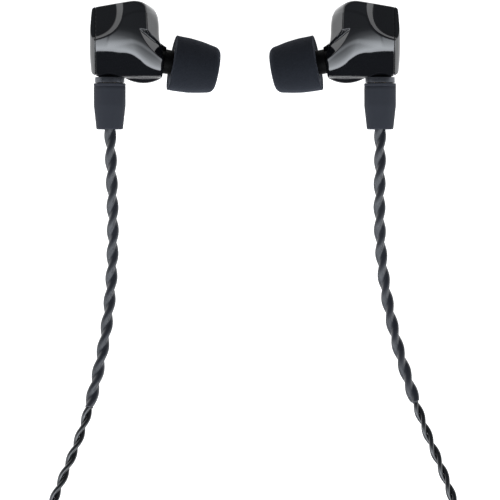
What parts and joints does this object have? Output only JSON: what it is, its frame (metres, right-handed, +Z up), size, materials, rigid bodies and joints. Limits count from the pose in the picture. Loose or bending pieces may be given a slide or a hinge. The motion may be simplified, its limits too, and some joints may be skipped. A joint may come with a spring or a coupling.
{
  "type": "in-ear monitors",
  "caption": "Glossy black in-ear monitors with foam tips and a detachable twisted over-ear cable ending in a right-angle audio jack.",
  "frame": {"origin": "on the surface the pair lies on, midway between the earpieces and at the middle of their housings and connectors (cable left out)", "axes": "+X runs from the left earpiece to the right one, +Y from the connectors to the far edge of the housings, +Z up from the surface"},
  "size_m": [0.1012, 0.2141, 0.0146],
  "materials": {
    "gloss_shell": "piano-black gloss",
    "nozzle_plastic": "gloss",
    "steel_mesh": "fine mesh",
    "tip_rubber": "matte",
    "memory_foam": "matte open-cell foam",
    "inner_plastic": "matte",
    "magnet_steel": "satin",
    "diaphragm_film": "satin",
    "clear_tube": "satin",
    "board_green": "satin",
    "inner_wire": "satin",
    "dark_chrome": "polished dark",
    "gold_contact": "polished gold plate",
    "soft_barrel": "soft-touch satin",
    "shrink_sleeve": "satin heat-shrink",
    "cable_jacket": "gloss jacket",
    "slider_rubber": "satin",
    "tie_fabric": "hook-and-loop weave",
    "insulator_band": "matte"
  },
  "bodies": {
    "cable": {"left_plug_core": "gold_contact", "left_plug_insulator": "inner_plastic", "left_plug_pin": "gold_contact", "left_connector_barrel": "soft_barrel", "left_ear_sleeve": "shrink_sleeve", "left_leg_cable": "cable_jacket", "right_plug_core": "gold_contact", "right_plug_insulator": "inner_plastic", "right_plug_pin": "gold_contact", "right_connector_barrel": "soft_barrel", "right_ear_sleeve": "shrink_sleeve", "right_leg_cable": "cable_jacket", "y_split": "soft_barrel", "main_cable_lead": "cable_jacket", "main_cable_coil": "cable_jacket", "main_cable_tail": "cable_jacket", "cable_tie": "tie_fabric", "jack_body": "soft_barrel", "jack_strain_relief": "slider_rubber", "jack_sleeve_contact": "gold_contact", "jack_ring_contact": "gold_contact", "jack_tip_contact": "gold_contact", "jack_insulators": "insulator_band"},
    "chin_slider": {"chin_slider": "slider_rubber"},
    "left_swivel": {"left_snap_ring": "gold_contact"},
    "left_earpiece": {"left_faceplate": "gloss_shell", "left_shell": "gloss_shell", "left_nozzle": "nozzle_plastic", "left_nozzle_mesh": "steel_mesh", "left_driver_frame": "inner_plastic", "left_driver_magnet": "magnet_steel", "left_driver_diaphragm": "diaphragm_film", "left_armature_driver": "magnet_steel", "left_sound_tube": "clear_tube", "left_crossover_board": "board_green", "left_socket": "dark_chrome", "left_socket_contact": "gold_contact", "left_collar": "dark_chrome", "left_inner_wires": "inner_wire"},
    "left_ear_tip": {"left_tip_core": "tip_rubber", "left_foam_tip": "memory_foam"},
    "right_swivel": {"right_snap_ring": "gold_contact"},
    "right_earpiece": {"right_faceplate": "gloss_shell", "right_shell": "gloss_shell", "right_nozzle": "nozzle_plastic", "right_nozzle_mesh": "steel_mesh", "right_driver_frame": "inner_plastic", "right_driver_magnet": "magnet_steel", "right_driver_diaphragm": "diaphragm_film", "right_armature_driver": "magnet_steel", "right_sound_tube": "clear_tube", "right_crossover_board": "board_green", "right_socket": "dark_chrome", "right_socket_contact": "gold_contact", "right_collar": "dark_chrome", "right_inner_wires": "inner_wire"},
    "right_ear_tip": {"right_tip_core": "tip_rubber", "right_foam_tip": "memory_foam"}
  },
  "joints": [
    {"name": "chin_slide", "type": "slide", "parent": "cable", "child": "chin_slider", "axis": [0, -1, 0], "range_m": [0, 0.026]},
    {"name": "left_connector_swivel", "type": "hinge", "parent": "cable", "child": "left_swivel", "pos_m": [-0.0305, -0.0023, 0.006], "axis": [0, 1, 0], "continuous": true},
    {"name": "left_unplug", "type": "slide", "parent": "left_swivel", "child": "left_earpiece", "axis": [0, 1, 0], "range_m": [0, 0.005]},
    {"name": "left_tip_pull", "type": "slide", "parent": "left_earpiece", "child": "left_ear_tip", "axis": [0.9775, -0.1724, -0.1219], "range_m": [0, 0.0045]},
    {"name": "right_connector_swivel", "type": "hinge", "parent": "cable", "child": "right_swivel", "pos_m": [0.0305, -0.0023, 0.006], "axis": [0, 1, 0], "continuous": true},
    {"name": "right_unplug", "type": "slide", "parent": "right_swivel", "child": "right_earpiece", "axis": [0, 1, 0], "range_m": [0, 0.005]},
    {"name": "right_tip_pull", "type": "slide", "parent": "right_earpiece", "child": "right_ear_tip", "axis": [-0.9775, -0.1724, -0.1219], "range_m": [0, 0.0045]}
  ]
}
